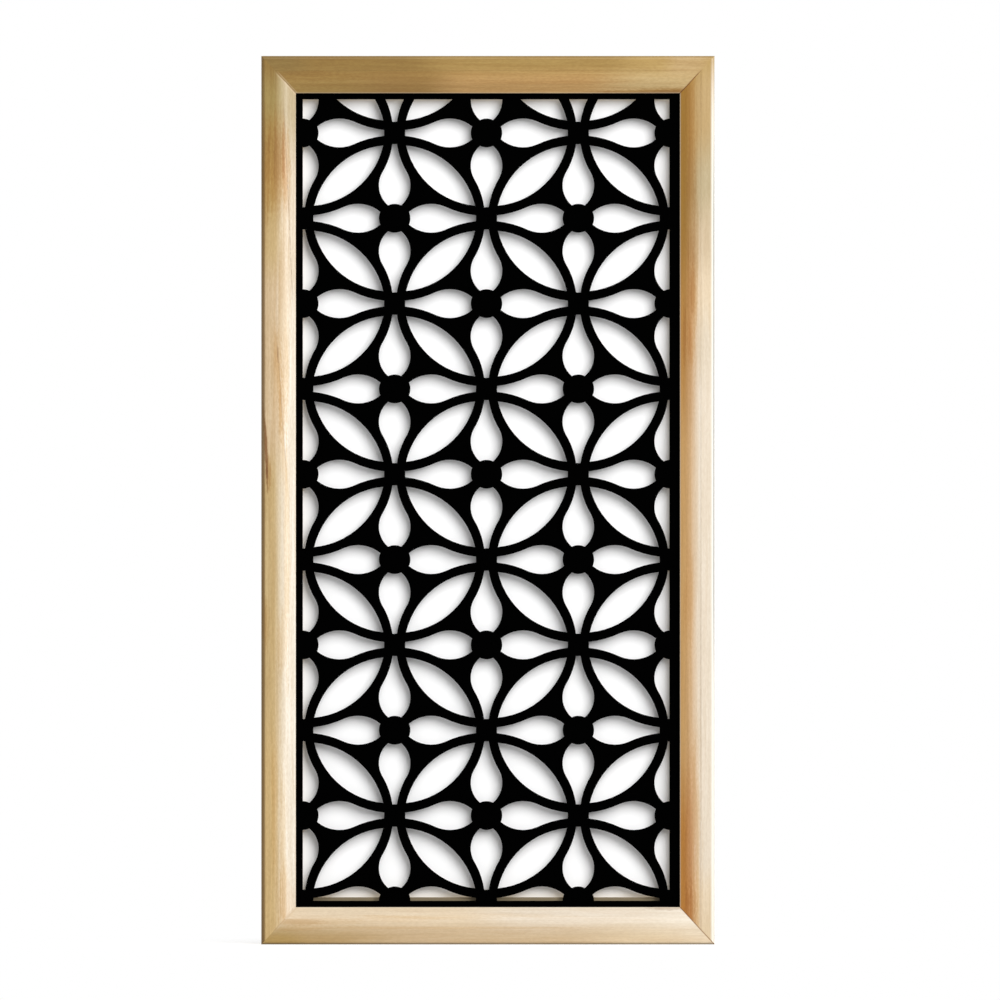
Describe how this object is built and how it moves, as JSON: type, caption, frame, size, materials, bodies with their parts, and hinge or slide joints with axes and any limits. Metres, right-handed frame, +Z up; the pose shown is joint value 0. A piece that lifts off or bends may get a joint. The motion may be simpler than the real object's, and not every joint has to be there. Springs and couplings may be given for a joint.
{
  "type": "framed fretwork panel",
  "caption": "Tall decorative panel: a mitred pine moulding round a thin black sheet cut through with petals and teardrops, held in a rear rebate by pinned beads.",
  "frame": {"origin": "middle of the bottom edge, half way through the moulding's depth", "axes": "+Z up along the panel's height, +X to the right as the front is seen, +Y from the front face to the back"},
  "size_m": [0.6116, 0.0306, 1.1989],
  "materials": {
    "pine": "sanded pine with a thin clear satin coat",
    "black_sheet": "smooth fibreboard sprayed matt black",
    "bead_wood": "bare planed pine",
    "pin_steel": "bright drawn steel"
  },
  "bodies": {
    "root": {"left_stile": "pine", "right_stile": "pine", "top_rail": "pine", "bottom_rail": "pine", "fretwork_sheet": "black_sheet", "left_bead": "bead_wood", "right_bead": "bead_wood", "top_bead": "bead_wood", "bottom_bead": "bead_wood", "bead_pins": "pin_steel", "corner_wedges": "pin_steel"}
  },
  "joints": []
}
